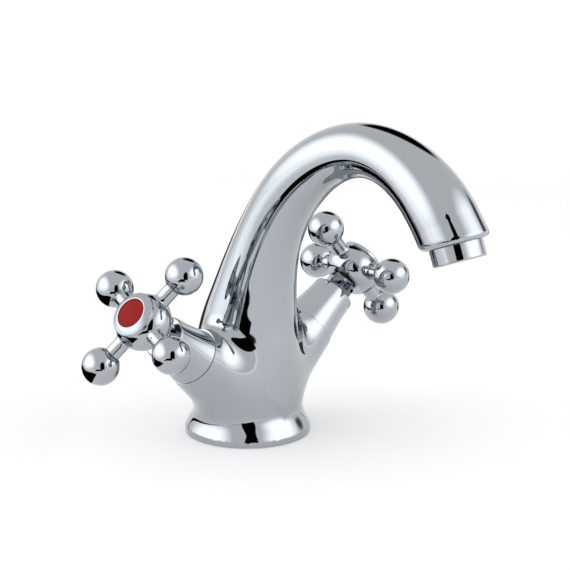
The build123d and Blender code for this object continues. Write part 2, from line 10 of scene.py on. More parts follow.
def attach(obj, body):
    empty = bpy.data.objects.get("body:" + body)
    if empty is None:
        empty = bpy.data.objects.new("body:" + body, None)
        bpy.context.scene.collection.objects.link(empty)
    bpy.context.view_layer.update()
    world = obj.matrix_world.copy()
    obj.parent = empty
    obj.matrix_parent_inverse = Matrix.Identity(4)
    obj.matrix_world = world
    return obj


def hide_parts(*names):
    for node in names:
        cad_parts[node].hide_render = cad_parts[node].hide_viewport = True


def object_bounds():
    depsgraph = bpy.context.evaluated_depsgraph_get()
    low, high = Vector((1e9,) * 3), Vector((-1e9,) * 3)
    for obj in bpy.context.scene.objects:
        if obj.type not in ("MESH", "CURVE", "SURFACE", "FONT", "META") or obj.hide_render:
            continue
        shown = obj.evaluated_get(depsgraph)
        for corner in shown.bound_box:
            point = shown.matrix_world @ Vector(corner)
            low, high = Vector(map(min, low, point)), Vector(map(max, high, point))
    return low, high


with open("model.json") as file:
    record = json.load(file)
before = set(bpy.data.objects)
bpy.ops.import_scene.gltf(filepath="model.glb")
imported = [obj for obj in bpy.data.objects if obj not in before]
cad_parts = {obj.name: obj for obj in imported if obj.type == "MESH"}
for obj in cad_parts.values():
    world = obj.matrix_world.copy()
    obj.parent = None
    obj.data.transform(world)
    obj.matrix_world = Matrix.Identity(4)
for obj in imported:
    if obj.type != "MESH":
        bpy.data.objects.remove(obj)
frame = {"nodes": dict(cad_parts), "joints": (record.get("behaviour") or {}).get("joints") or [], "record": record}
cad_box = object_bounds()

# Sizes are in millimetres and become metres where a mesh is made.
# +Z is up, the spout points to -Y, the hot handle is at -X.
MM = 0.001

# Foot and lower body: radius and height of points on the turned outline
FOOT_R = 27.5
FOOT_BAND_Z = 2.2
WAIST = (22.7, 12.6)
FLARE = ((FOOT_R + WAIST[0]) / 2, 6.9)
BELLY = (23.4, 30.0)
FOOT_TANGENT = (-1.0, 2.5)
UPRIGHT = (0, 1)

# Column and spout: distance forward, height and radius
FLANK = (0.5, 42.0, 22.4)
SHOULDER = (1.6, 53.0, 20.5)
CHEST = (3.7, 61.5, 18.8)
THROAT = (6.1, 70.0, 17.2)
NECK = (15.0, 92.0, 14.1)
RISE = (32.0, 116.0, 12.7)
CREST = (74.0, 135.2, 11.3)
FALL = (98.6, 127.6, 12.7)
OUTLET_FORWARD = 119.6
OUTLET_Z = 104.8
OUTLET_R = 14.5
OUTLET_NECK_R = 13.9
OUTLET_STRAIGHT = 8.0
OUTLET_OVERRUN = 12.0
OUTLET_FILLET = 2.5
SPOUT_END_ANGLE = 34.0
JET_ANGLE = 21.0

# Branches, along the valve axis from the point where the axes cross
BRANCH_START = 5.0
BRANCH_ROOT = 12.0
BRANCH_ROOT_R = 16.8
MOUTH = 43.5
MOUTH_R = 12.7
BLEND = 9.0

# Sockets and recesses of the casting
FOOT_RECESS_R = 18.5
FOOT_RECESS_DEPTH = 9.0
SEAL_GROOVE_R = 24.85
SEAL_GROOVE_BORE_R = 20.95
SEAL_GROOVE_DEPTH = 2.0
SOCKET_R = 10.0
SOCKET_DEPTH = 8.0
COUNTERBORE_R = 10.0
COUNTERBORE_DEPTH = 1.4
THREAD_R = 8.33
SEAT = 20.0

# Bonnet and handle, along the valve axis
BONNET_FOOT_R = 12.5
BONNET_TOP_R = 9.5
BONNET_TOP = 64.0
BONNET_HOLLOW = 0.5
BONNET_WALL = 1.3
BONNET_TOP_THICKNESS = 1.8
BONNET_TOP_FILLET = 0.9
BONNET_FOOT_FILLET = 0.3
BONNET_TOP_ROOM = 1.2
BONNET_FOOT_ROOM = 1.0
SLEEVE_HOLE_R = 4.85
ARMS = 79.0
HUB_BACK = 7.7
HUB_BACK_R = 9.0
HUB_R = 12.3
HUB_FRONT = 5.6
HUB_FRONT_R = 9.6
HUB_BACK_TANGENT = (1, 0.7)
HUB_FRONT_TANGENT = (-1, 0.9)
HUB_EDGE_FILLET = 0.35
HUB_BORE_R = 5.55
HUB_BORE_DEPTH = 9.6
HUB_RECESS_R = 7.2
HUB_RECESS_DEPTH = 2.0
ARM_COUNT = 4
ARM_START = 11.0
ARM_FOOT_R = 4.1
ARM_R = 3.4
ARM_TAPER = 3.5
ARM_TANGENT = (-1, 1)
BALL_CIRCLE_R = 25.6
BALL_R = 8.0
BALL_JOINT_FILLET = 0.5
REST_ANGLE = {"hot": 67.2, "cold": -95.9}
CAP_R = 9.9
CAP_RIM = 1.4
CAP_HEIGHT = 2.8
CAP_FILLET = 0.3
CAP_SPIGOT_R = 7.15
CAP_SPIGOT = 1.6
CAP_BULGE = 0.54
INDEX_R = 6.5
INDEX_RECESS = 1.1
INDEX_BEAD = 0.5
INDEX_DOME = 0.35
INDEX_FIT = 0.05

# Aerator ring, along the jet from the outlet face
AERATOR_R = 10.9
AERATOR_LENGTH = 7.2
AERATOR_EDGE = 0.8
AERATOR_TOP_EDGE = 0.25
AERATOR_LIP_EDGE = 0.2
AERATOR_THREAD_R = 9.95
AERATOR_THREAD = 6.8
AERATOR_BORE_R = 8.6
AERATOR_LIP_R = 7.8
AERATOR_LIP = 0.7

# Grid that the casting is sampled on, and how far the field goes on past the planes where it is cut open
CELL = 1.25
GRID_MARGIN = 4.0
GRID_BELOW = 5 * CELL
FOOT_OVERRUN = 4 * CELL
OPEN_END = 2 * CELL
OUTLET_ZONE = 3 * OUTLET_R

# Search for the section through a point: rounds, smallest slope and longest leap, counted in sections
SECTION_ROUNDS = 10
SECTION_SLOPE = 0.05
SECTION_LEAP = 80
SETTLE_ROUNDS = 4
GRADIENT_REACH = 0.1

# Cutting the casting's mesh open: reach of the cuts, tolerances, and where the lip's rounding is cut
FOOT_CUT_REACH = 3 * FOOT_R
MOUTH_CUT_REACH = 1.3 * MOUTH_R
OUTLET_CUT_REACH = 1.3 * OUTLET_R
CUT_FIT = 1e-4
RIM_WELD = 0.08
RIM_FLAT = 0.01
LIP_CUT_ANGLE = pi / 6

# Fineness of the curves, and points left out of a curve beside its fillets
SECTION_PITCH = CELL / 8
TURN_STEPS = 128
BALL_STEPS = 48
CURVE_STEPS = 24
FLARE_STEPS = 2 * CURVE_STEPS
FLANK_STEPS = 4 * CURVE_STEPS
COURSE_STEPS = 6 * CURVE_STEPS
OUTLET_STEPS = 2 * CURVE_STEPS
TAPER_STEPS = 10
FILLET_STEPS = 5
BULB_TRIM = 2
BEVEL_TRIM = 3
ON_AXIS = 1e-6
SHARP_ANGLE = 32.0

# Finish of each slot: name, darker and lighter colour, metallic, roughness, mottling scale, bump and shine
NOISE_DETAIL = 6
BUMP_HEIGHT = 0.00005
INDEX_ROUGH = (0.25, 0.35)
FINISHES = {
    "chrome": ("polished_chrome", (0.385, 0.41, 0.44), (0.41, 0.435, 0.465), 1, (0.02, 0.05), 60, 0.02, 0.5),
    # Brass keeps its hue, but both its colours are darkened as painted shade, so the bush in the hub's bore reads
    # dark
    "brass": ("machined_brass_painted_shade", (0.36, 0.25, 0.10), (0.42, 0.30, 0.14), 1, (0.28, 0.42), 400, 0.2, 0.5),
    "rubber": ("black_rubber", (0.015, 0.015, 0.016), (0.03, 0.03, 0.032), 0, (0.55, 0.75), 600, 0.4, 0.5),
    "ceramic": ("white_ceramic", (0.86, 0.85, 0.82), (0.92, 0.91, 0.89), 0, (0.12, 0.20), 500, 0.1, 0.5),
    "plastic": ("white_plastic", (0.74, 0.75, 0.76), (0.82, 0.83, 0.84), 0, (0.35, 0.5), 500, 0.2, 0.5),
    "steel": ("plain_steel", (0.50, 0.51, 0.52), (0.60, 0.61, 0.62), 1, (0.22, 0.35), 700, 0.2, 0.5),
    "hot_index": ("red_enamel", (0.215, 0.008, 0.007), (0.25, 0.011, 0.01), 0, INDEX_ROUGH, 300, 0.1, 0.05),
    "cold_index": ("blue_enamel", (0.01, 0.035, 0.24), (0.014, 0.045, 0.28), 0, INDEX_ROUGH, 300, 0.1, 0.05),
}

# Studio, in metres: its centre, the tent about it, the floor and the cards
STUDIO_CENTRE = Vector((0, -0.045, 0.07))
WORLD_LIGHT = 0.55
TENT_R = 2.2
TENT_GLOW = 0.95
TENT_STEP = 10
TENT_LOW_RISE = -10
TENT_OPEN_TURN = 145
TENT_OPEN_RISE = 20
FLOOR_HALF = 3.0
FLOOR_DROP = 0.0002
FLOOR_COLOUR = 0.71
FLOOR_ROUGHNESS = 0.9
FLOOR_LIFT = (0.17, 0.7)
FLOOR_REACH = (0.5, 1.8)
FLOOR_CARD_Z = 0.0004
CARD_DISTANCE = 1.2
STRIP_DISTANCE = 0.55
DARK_GLOW = 0.1
SQUARE = [(-1, -1, 0), (1, -1, 0), (1, 1, 0), (-1, 1, 0)]

# Dark strip before the object, as (turn, rise) in degrees, up its left edge and down its right
FRONT_STRIP = [
    (-7, -7), (-9, 16), (-8, 26), (-5, 33), (4, 40),
    (11, 40), (16, 33), (18, 26), (18, 16), (17, -7),
]

# Dark cards on the floor, as (right, towards the camera) in metres from the foot's middle
FRONT_DARK = [(-0.16, 0.2), (-0.1, 0.27), (0.02, 0.29), (0.03, 2.0), (-0.75, 2.0)]
LEFT_DARK = [
    (-0.075, -0.05), (-0.12, -0.12), (-0.24, -0.17), (-0.3, -0.1),
    (-0.22, 0.02), (-0.15, 0.13), (-0.09, 0.13),
]
BACK_DARK = [(-0.25, -0.14), (0.2, -0.14), (0.5, -0.9), (-0.5, -0.9)]

# Camera, fitted to the photograph: direction, distance, offsets, and focal length in the photograph's pixels
CAMERA_AZIMUTH = -44.238
CAMERA_ELEVATION = 15.053
CAMERA_DISTANCE = 1044.58
CAMERA_RIGHT = 16.346
CAMERA_UP = 62.911
CAMERA_FOCAL = 2376.2
PHOTO_WIDTH = 570
SENSOR_WIDTH = 36.0


# Curves

def cubic_curve(points, start_tangent, end_tangent, steps):
    """Points on a smooth curve through the given ones, with set directions at its two ends."""
    points = np.array(points, float)
    chords = np.linalg.norm(np.diff(points, axis=0), axis=1)
    count = len(points)
    matrix = np.zeros((count, count))
    right = np.zeros_like(points)
    matrix[0, 0] = matrix[-1, -1] = 1
    right[0] = np.array(start_tangent, float) / np.linalg.norm(start_tangent)
    right[-1] = np.array(end_tangent, float) / np.linalg.norm(end_tangent)
    for i in range(1, count - 1):
        before, after = chords[i - 1], chords[i]
        matrix[i, i - 1 : i + 2] = after, 2 * (before + after), before
        slopes = (points[i] - points[i - 1]) / before, (points[i + 1] - points[i]) / after
        right[i] = 3 * (after * slopes[0] + before * slopes[1])
    tangents = np.linalg.solve(matrix, right)
    spans = []
    for i in range(count - 1):
        t = np.linspace(0, 1, steps, endpoint=False)[:, None]
        length = chords[i]
        spans.append(
            (2 * t**3 - 3 * t**2 + 1) * points[i]
            + (t**3 - 2 * t**2 + t) * length * tangents[i]
            + (3 * t**2 - 2 * t**3) * points[i + 1]
            + (t**3 - t**2) * length * tangents[i + 1]
        )
    return np.vstack(spans + [points[-1:]])


def arc_through(start, middle, end, steps):
    """Points on the circular arc through three points."""
    (ax, ay), (bx, by), (cx, cy) = start, middle, end
    d = 2 * (ax * (by - cy) + bx * (cy - ay) + cx * (ay - by))
    a, b, c = ax * ax + ay * ay, bx * bx + by * by, cx * cx + cy * cy
    centre = np.array([(a * (by - cy) + b * (cy - ay) + c * (ay - by)) / d,
                       (a * (cx - bx) + b * (ax - cx) + c * (bx - ax)) / d])
    radius = np.linalg.norm(np.array(start) - centre)
    angles = np.unwrap([np.arctan2(*(np.array(p) - centre)[::-1]) for p in (start, middle, end)])
    turns = np.linspace(angles[0], angles[2], steps + 1)
    return [tuple(centre + radius * np.array([cos(t), sin(t)])) for t in turns]


def rounded(corners):
    """Outline through (radius, height, fillet) corners, with an arc at each corner that has a fillet."""
    outline = []
    for i, corner in enumerate(corners):
        point = np.array(corner[:2], float)
        fillet = corner[2] if len(corner) > 2 else 0
        if not fillet:
            outline.append(tuple(point))
            continue
        to_last = np.array(corners[i - 1][:2], float) - point
        to_next = np.array(corners[(i + 1) % len(corners)][:2], float) - point
        to_last /= np.linalg.norm(to_last)
        to_next /= np.linalg.norm(to_next)
        half = np.arccos(np.clip(to_last @ to_next, -1, 1)) / 2
        reach = fillet / tan(half)
        bisector = (to_last + to_next) / np.linalg.norm(to_last + to_next)
        centre = point + bisector * fillet / sin(half)
        start, end = point + to_last * reach, point + to_next * reach
        outline += arc_through(tuple(start), tuple(centre - bisector * fillet), tuple(end), FILLET_STEPS)
    return outline


# The casting's outer surface as a field: negative inside, zero on the surface

def jet_direction(angle):
    """Forward and downwards as (y, z), at this angle from straight down."""
    return np.array([-sin(radians(angle)), -cos(radians(angle))])


def spout_end(distance):
    """Point (y, z) on the spout's straight end, this far past the outlet's middle."""
    end = np.array([-OUTLET_FORWARD, OUTLET_Z])
    return end + distance * jet_direction(SPOUT_END_ANGLE)


def trunk_sections():
    """Round sections from below the foot to past the outlet: centre (y, z), normal (y, z) and radius."""
    flare = cubic_curve([(FOOT_R, FOOT_BAND_Z), FLARE, WAIST], FOOT_TANGENT, UPRIGHT, FLARE_STEPS)
    flank = cubic_curve([WAIST, BELLY], UPRIGHT, UPRIGHT, FLANK_STEPS)
    lower = np.vstack([[(FOOT_R, -FOOT_OVERRUN)], flare[:-1], flank])
    heights = np.arange(lower[0, 1], BELLY[1], SECTION_PITCH)
    radii = np.interp(heights, lower[:, 1], lower[:, 0])
    rows = [(0, z, *UPRIGHT, r) for z, r in zip(heights, radii)]
    stations = [(0, BELLY[1], BELLY[0]), FLANK, SHOULDER, CHEST, THROAT, NECK, RISE, CREST, FALL]
    points = [(-forward, z, r) for forward, z, r in stations]
    points.append((*spout_end(-OUTLET_STRAIGHT), OUTLET_NECK_R))
    course = cubic_curve(points, (*UPRIGHT, 0), (*jet_direction(SPOUT_END_ANGLE), 0), COURSE_STEPS)
    along = np.gradient(course[:, :2], axis=0)
    along /= np.linalg.norm(along, axis=1)[:, None]
    lean = np.clip(-course[:, 0] / NECK[0], 0, 1)[:, None]
    normals = (1 - lean) * np.array(UPRIGHT) + lean * along
    normals /= np.linalg.norm(normals, axis=1)[:, None]
    rows += [(y, z, ny, nz, r) for (y, z, r), (ny, nz) in zip(course, normals)]
    for distance in np.linspace(-OUTLET_STRAIGHT, OUTLET_OVERRUN, OUTLET_STEPS)[1:]:
        share = (distance + OUTLET_STRAIGHT) / (OUTLET_STRAIGHT + OUTLET_OVERRUN)
        radius = OUTLET_NECK_R + share * (OUTLET_R - OUTLET_NECK_R)
        rows.append((*spout_end(distance), *jet_direction(SPOUT_END_ANGLE), radius))
    return np.array(rows)


SECTIONS = trunk_sections()
SECTION_STEPS = np.gradient(SECTIONS, axis=0)
GRID_LOW = np.array([-MOUTH - MOUTH_R, cad_box[0].y / MM - GRID_MARGIN, -GRID_BELOW])
GRID_HIGH = np.array([MOUTH + MOUTH_R, FOOT_R + GRID_MARGIN, cad_box[1].z / MM + GRID_MARGIN])


def nearest_sections():
    """Number of the section with the nearest centre, on a grid over the plane of symmetry."""
    y = np.arange(GRID_LOW[1], GRID_HIGH[1] + CELL, CELL)
    z = np.arange(GRID_LOW[2], GRID_HIGH[2] + CELL, CELL)
    nearest = [np.hypot(y[:, None] - SECTIONS[:, 0], level - SECTIONS[:, 1]).argmin(1) for level in z]
    return np.stack(nearest, 1)


NEAREST = nearest_sections()


def section_at(y, z):
    """Distance to the centre, and radius, of the section through each point in the plane of symmetry."""
    i = np.clip(np.rint((y - GRID_LOW[1]) / CELL).astype(int), 0, NEAREST.shape[0] - 1)
    j = np.clip(np.rint((z - GRID_LOW[2]) / CELL).astype(int), 0, NEAREST.shape[1] - 1)
    numbers = np.arange(len(SECTIONS))
    place = NEAREST[i, j].astype(float)
    for _ in range(SECTION_ROUNDS):
        row = [np.interp(place, numbers, column) for column in SECTIONS.T]
        step = [np.interp(place, numbers, column) for column in SECTION_STEPS.T]
        dy, dz = y - row[0], z - row[1]
        miss = dy * row[2] + dz * row[3]
        slope = dy * step[2] + dz * step[3] - step[0] * row[2] - step[1] * row[3]
        slope = np.minimum(slope, -SECTION_SLOPE)
        leap = np.clip(miss / slope, -SECTION_LEAP, SECTION_LEAP)
        place = np.clip(place - leap, 0, len(SECTIONS) - 1)
    row = [np.interp(place, numbers, column) for column in SECTIONS.T]
    return np.hypot(y - row[0], z - row[1]), row[4]


def smooth_union(a, b):
    """What lies inside either field, blended where they meet."""
    h = np.maximum(BLEND - np.abs(a - b), 0) / BLEND
    return np.minimum(a, b) - h * h * BLEND / 4


def rounded_cut(a, b, fillet):
    """What lies inside both fields, with a fillet where they meet."""
    u, v = np.maximum(fillet + a, 0), np.maximum(fillet + b, 0)
    return np.minimum(-fillet, np.maximum(a, b)) + np.hypot(u, v)


def valve_joint(side):
    """Joint that one handle turns on."""
    return next(j for j in frame["joints"] if j["child"] == f"{side}_handle")


def valve_matrix(side, turn=0.0):
    """Frame whose Z runs outwards along a valve axis and whose X points to the front, in millimetres."""
    joint = valve_joint(side)
    z = Vector(joint["axis"]).normalized()
    front = Vector((0, -1, 0))
    x = (front - z * front.dot(z)).normalized()
    axes = Matrix((x, z.cross(x), z)).transposed().to_4x4()
    return Matrix.Translation(Vector(joint["pos_m"]) / MM) @ axes @ Matrix.Rotation(radians(turn), 4, "Z")


def jet_matrix():
    """Frame in the outlet face whose Z points along the water jet."""
    y, z = jet_direction(JET_ANGLE)
    down = Vector((0, y, z))
    x = Vector((1, 0, 0))
    axes = Matrix((x, down.cross(x), down)).transposed().to_4x4()
    return Matrix.Translation((0, -OUTLET_FORWARD, OUTLET_Z)) @ axes


def branch_field(points, side):
    """Field of one tapered branch, which goes on a little past its mouth."""
    matrix = np.array(valve_matrix(side))
    offset = points - matrix[:3, 3]
    along = offset @ matrix[:3, 2]
    across = np.linalg.norm(offset - along[..., None] * matrix[:3, 2], axis=-1)
    slope = (MOUTH_R - BRANCH_ROOT_R) / (MOUTH - BRANCH_ROOT)
    side_field = (across - BRANCH_ROOT_R - slope * (along - BRANCH_ROOT)) * cos(atan(slope))
    return np.maximum(side_field, np.maximum(BRANCH_START - along, along - MOUTH - OPEN_END))


def casting_field(points, trunk=None):
    """Field of the casting's outside, which goes on a little past the foot's underside and the mouths."""
    if trunk is None:
        trunk = section_at(points[..., 1], points[..., 2])
    across, radius = trunk
    tube = np.hypot(points[..., 0], across) - radius
    jet = np.array(jet_matrix())
    beyond = (points - jet[:3, 3]) @ jet[:3, 2]
    near_outlet = np.linalg.norm(points - jet[:3, 3], axis=-1) < OUTLET_ZONE
    tube = np.where(near_outlet, rounded_cut(tube, beyond, OUTLET_FILLET), tube)
    tube = np.maximum(tube, -OPEN_END - points[..., 2])
    return smooth_union(smooth_union(tube, branch_field(points, "hot")), branch_field(points, "cold"))


def field_gradient(points):
    """Slope of the casting's field at each point."""
    steps = np.eye(3) * GRADIENT_REACH
    rises = [casting_field(points + step) - casting_field(points - step) for step in steps]
    return np.stack(rises, -1) / (2 * GRADIENT_REACH)


def surface_net():
    """Quads on the zero level of the casting's field, sampled on a regular grid."""
    axes = [np.arange(GRID_LOW[i], GRID_HIGH[i] + CELL, CELL) for i in range(3)]
    grid = np.stack(np.meshgrid(*axes, indexing="ij"), -1)
    plane = np.stack(np.meshgrid(axes[1], axes[2], indexing="ij"), -1)
    values = casting_field(grid, section_at(plane[..., 0], plane[..., 1]))
    cells = [n - 1 for n in values.shape]
    total, count = np.zeros(cells + [3]), np.zeros(cells)
    crossings = []
    for axis in range(3):
        first = [slice(None)] * 3
        second = [slice(None)] * 3
        first[axis], second[axis] = slice(None, -1), slice(1, None)
        a, b = values[tuple(first)], values[tuple(second)]
        where = np.argwhere((a < 0) != (b < 0))
        va, vb = a[tuple(where.T)], b[tuple(where.T)]
        point = grid[tuple(where.T)].copy()
        point[:, axis] += CELL * va / (va - vb)
        crossings.append((axis, where, va < 0))
        others = [i for i in range(3) if i != axis]
        for du in (0, 1):
            for dv in (0, 1):
                cell = where.copy()
                cell[:, others[0]] -= du
                cell[:, others[1]] -= dv
                np.add.at(total, tuple(cell.T), point)
                np.add.at(count, tuple(cell.T), 1)
    used = count > 0
    number = np.full(cells, -1)
    number[used] = np.arange(used.sum())
    vertices = total[used] / count[used][:, None]
    faces = []
    for axis, where, outwards in crossings:
        u, v = [(1, 2), (2, 0), (0, 1)][axis]
        ring = []
        for du, dv in ((1, 1), (0, 1), (0, 0), (1, 0)):
            cell = where.copy()
            cell[:, u] -= du
            cell[:, v] -= dv
            ring.append(number[tuple(cell.T)])
        quad = np.stack(ring, 1)
        faces.append(np.where(outwards[:, None], quad, quad[:, ::-1]))
    return vertices, np.vstack(faces)


def settle(vertices):
    """Moves points onto the zero level of the casting's field."""
    for _ in range(SETTLE_ROUNDS):
        slope = field_gradient(vertices)
        vertices = vertices - (casting_field(vertices) / (slope**2).sum(1))[:, None] * slope
    return vertices


# Meshes

def add_object(name, mesh, body, slot, material, *replaced):
    """Piece that rides on a body, with its finish, in place of the nodes it replaces."""
    piece = bpy.data.objects.new(name, mesh)
    bpy.context.scene.collection.objects.link(piece)
    mesh.materials.append(material)
    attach(piece, body)
    if replaced:
        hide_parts(*replaced)
    return piece


def cut_open(bm, matrix, distance, reach):
    """Cuts away what lies past a frame's plane, within a reach of its middle. Returns the rim in order."""
    origin = matrix @ Vector((0, 0, distance))
    normal = (matrix.to_3x3() @ Vector((0, 0, 1))).normalized()
    faces = [f for f in bm.faces if (f.calc_center_median() - origin).length < reach]
    edges = dict.fromkeys(e for f in faces for e in f.edges)
    points = dict.fromkeys(v for f in faces for v in f.verts)
    geometry = [*faces, *edges, *points]
    cut = bmesh.ops.bisect_plane(
        bm, geom=geometry, dist=CUT_FIT, plane_co=origin, plane_no=normal, clear_outer=True
    )
    cut_points = [v for v in cut["geom_cut"] if isinstance(v, bmesh.types.BMVert)]
    bmesh.ops.remove_doubles(bm, verts=cut_points, dist=RIM_WELD)
    rim = {v for e in bm.edges if e.is_boundary for v in e.verts if (v.co - origin).length < reach}
    rim = [v for v in rim if abs((v.co - origin).dot(normal)) < RIM_FLAT]
    inverse = matrix.inverted()
    return sorted(rim, key=lambda v: np.arctan2((inverse @ v.co).y, (inverse @ v.co).x))


def add_rings(bm, matrix, rim, outline, smooth_count=0):
    """Closes an open rim with rings about a frame's Z axis, given as (radius, height), and a flat end."""
    inverse = matrix.inverted()
    last = rim
    for i, (radius, height) in enumerate(outline):
        ring = []
        for vertex in rim:
            local = inverse @ vertex.co
            scale = radius / hypot(local.x, local.y)
            ring.append(bm.verts.new(matrix @ Vector((local.x * scale, local.y * scale, height))))
        for k in range(len(rim)):
            n = (k + 1) % len(rim)
            face = bm.faces.new((last[k], last[n], ring[n], ring[k]))
            face.smooth = i < smooth_count
        last = ring
    cap = bm.faces.new(last)
    cap.smooth = False


def casting_mesh():
    """Outside of the casting as a fine smooth mesh, closed by its recess, valve pockets and socket."""
    vertices, faces = surface_net()
    vertices = settle(vertices)
    mesh = bpy.data.meshes.new("body_casting_skin")
    mesh.from_pydata(vertices.tolist(), [], faces.tolist())
    bm = bmesh.new()
    bm.from_mesh(mesh)
    for face in bm.faces:
        face.smooth = True
    down = Matrix.Rotation(pi, 4, "X")
    rim = cut_open(bm, down, 0, FOOT_CUT_REACH)
    add_rings(bm, down, rim, [
        (SEAL_GROOVE_R, 0), (SEAL_GROOVE_R, -SEAL_GROOVE_DEPTH),
        (SEAL_GROOVE_BORE_R, -SEAL_GROOVE_DEPTH), (SEAL_GROOVE_BORE_R, 0),
        (FOOT_RECESS_R, 0), (FOOT_RECESS_R, -FOOT_RECESS_DEPTH),
    ])
    for side in ("hot", "cold"):
        matrix = valve_matrix(side)
        rim = cut_open(bm, matrix, MOUTH, MOUTH_CUT_REACH)
        add_rings(bm, matrix, rim, [
            (COUNTERBORE_R, MOUTH), (COUNTERBORE_R, MOUTH - COUNTERBORE_DEPTH),
            (THREAD_R, MOUTH - COUNTERBORE_DEPTH), (THREAD_R, SEAT),
        ])
    matrix = jet_matrix()
    rim_depth = OUTLET_FILLET * (1 - cos(LIP_CUT_ANGLE))
    rim = cut_open(bm, matrix, -rim_depth, OUTLET_CUT_REACH)
    rim_r = np.mean([hypot(*(matrix.inverted() @ v.co)[:2]) for v in rim])
    add_rings(bm, matrix, rim, [
        (rim_r - OUTLET_FILLET * sin(LIP_CUT_ANGLE), 0), (SOCKET_R, 0), (SOCKET_R, -SOCKET_DEPTH),
    ], smooth_count=1)
    bmesh.ops.recalc_face_normals(bm, faces=bm.faces[:])
    bm.to_mesh(mesh)
    bm.free()
    points = np.array([v.co for v in mesh.vertices])
    normals = field_gradient(points)
    normals /= np.linalg.norm(normals, axis=1)[:, None]
    loops = np.zeros((len(mesh.loops), 3))
    for polygon in mesh.polygons:
        for loop in polygon.loop_indices:
            vertex = mesh.loops[loop].vertex_index
            loops[loop] = normals[vertex] if polygon.use_smooth else polygon.normal
    mesh.transform(Matrix.Scale(MM, 4))
    mesh.polygons.foreach_set("use_smooth", np.ones(len(mesh.polygons), bool))
    mesh.normals_split_custom_set(loops.tolist())
    return mesh


def turned_mesh(name, outline, matrix):
    """Closed mesh turned about a frame's Z axis from a closed (radius, height) outline."""
    bm = bmesh.new()
    rings = []
    for radius, height in outline:
        if radius < ON_AXIS:
            rings.append([bm.verts.new((0, 0, height))] * TURN_STEPS)
        else:
            turns = [2 * pi * k / TURN_STEPS for k in range(TURN_STEPS)]
            rings.append([bm.verts.new((radius * cos(t), radius * sin(t), height)) for t in turns])
    for i in range(len(rings)):
        one, two = rings[i], rings[(i + 1) % len(rings)]
        if one[0] is one[1] and two[0] is two[1]:
            continue
        for k in range(TURN_STEPS):
            n = (k + 1) % TURN_STEPS
            corners = []
            for vertex in (one[k], one[n], two[n], two[k]):
                if vertex not in corners:
                    corners.append(vertex)
            bm.faces.new(corners)
    for face in bm.faces:
        face.smooth = True
    bmesh.ops.recalc_face_normals(bm, faces=bm.faces[:])
    bm.transform(Matrix.Scale(MM, 4) @ matrix)
    mesh = bpy.data.meshes.new(name)
    bm.to_mesh(mesh)
    bm.free()
    mesh.set_sharp_from_angle(angle=radians(SHARP_ANGLE))
    return mesh


def add_turned(name, outline, matrix, body, slot, material, *replaced):
    """Turned piece with smooth shading that keeps its sharp edges."""
    piece = add_object(name, turned_mesh(name, outline, matrix), body, slot, material, *replaced)
    normals = piece.modifiers.new("weighted_normals", "WEIGHTED_NORMAL")
    normals.keep_sharp = True


def bonnet_side(inset):
    """Tapered, slightly hollow side of the bonnet, from foot to top."""
    middle_r = (BONNET_TOP_R + BONNET_FOOT_R) / 2 - BONNET_HOLLOW
    middle = (middle_r - inset, (MOUTH + BONNET_TOP) / 2)
    foot, top = (BONNET_FOOT_R - inset, MOUTH), (BONNET_TOP_R - inset, BONNET_TOP)
    return arc_through(foot, middle, top, CURVE_STEPS)


def bonnet_outline():
    """Hollow shroud with a hole in its top for the headwork's sleeve."""
    ceiling = BONNET_TOP - BONNET_TOP_THICKNESS
    outer = bonnet_side(0)
    inner = [p for p in bonnet_side(BONNET_WALL) if p[1] < ceiling]
    corners = [(*outer[0], BONNET_FOOT_FILLET)] + outer[1:-1] + [(*outer[-1], BONNET_TOP_FILLET)]
    low, high = MOUTH + BONNET_FOOT_ROOM, BONNET_TOP - BONNET_TOP_ROOM
    corners = [p for p in corners if len(p) == 3 or low < p[1] < high]
    corners += [(SLEEVE_HOLE_R, BONNET_TOP, BONNET_FOOT_FILLET), (SLEEVE_HOLE_R, ceiling)]
    return rounded(corners + [(inner[-1][0], ceiling)] + inner[::-1])


def hub_outline():
    """Bulbous hub, bored from behind for the bush and recessed in front for the cap."""
    back, front = ARMS - HUB_BACK, ARMS + HUB_FRONT
    points = [(HUB_BACK_R, back), (HUB_R, ARMS), (HUB_FRONT_R, front)]
    bulb = [tuple(p) for p in cubic_curve(points, HUB_BACK_TANGENT, HUB_FRONT_TANGENT, CURVE_STEPS)]
    corners = [(HUB_BORE_R, back), (*bulb[0], HUB_EDGE_FILLET)] + bulb[BULB_TRIM:-BULB_TRIM]
    corners.append((*bulb[-1], HUB_EDGE_FILLET))
    floor = front - HUB_RECESS_DEPTH
    corners += [(HUB_RECESS_R, front), (HUB_RECESS_R, floor), (0, floor)]
    return rounded(corners + [(0, back + HUB_BORE_DEPTH), (HUB_BORE_R, back + HUB_BORE_DEPTH)])


def arm_outline():
    """Half section of one arm along its own axis: tapered stem and ball."""
    meet = BALL_CIRCLE_R - sqrt((BALL_R + BALL_JOINT_FILLET) ** 2 - (ARM_R + BALL_JOINT_FILLET) ** 2)
    centre = np.array([ARM_R + BALL_JOINT_FILLET, meet])
    to_ball = np.arctan2(BALL_CIRCLE_R - meet, -centre[0])
    turns = np.linspace(pi, to_ball, FILLET_STEPS)
    joint = [tuple(centre + BALL_JOINT_FILLET * np.array([cos(t), sin(t)])) for t in turns]
    start = np.arctan2(meet - BALL_CIRCLE_R, centre[0])
    turns = np.linspace(start, pi / 2, BALL_STEPS)
    ball = [(BALL_R * cos(t), BALL_CIRCLE_R + BALL_R * sin(t)) for t in turns]
    ball[-1] = (0, BALL_CIRCLE_R + BALL_R)
    ends = [(ARM_FOOT_R, ARM_START), (ARM_R, ARM_START + ARM_TAPER)]
    taper = cubic_curve(ends, ARM_TANGENT, UPRIGHT, TAPER_STEPS)
    return [(0, ARM_START)] + [tuple(p) for p in taper] + joint + ball[1:]


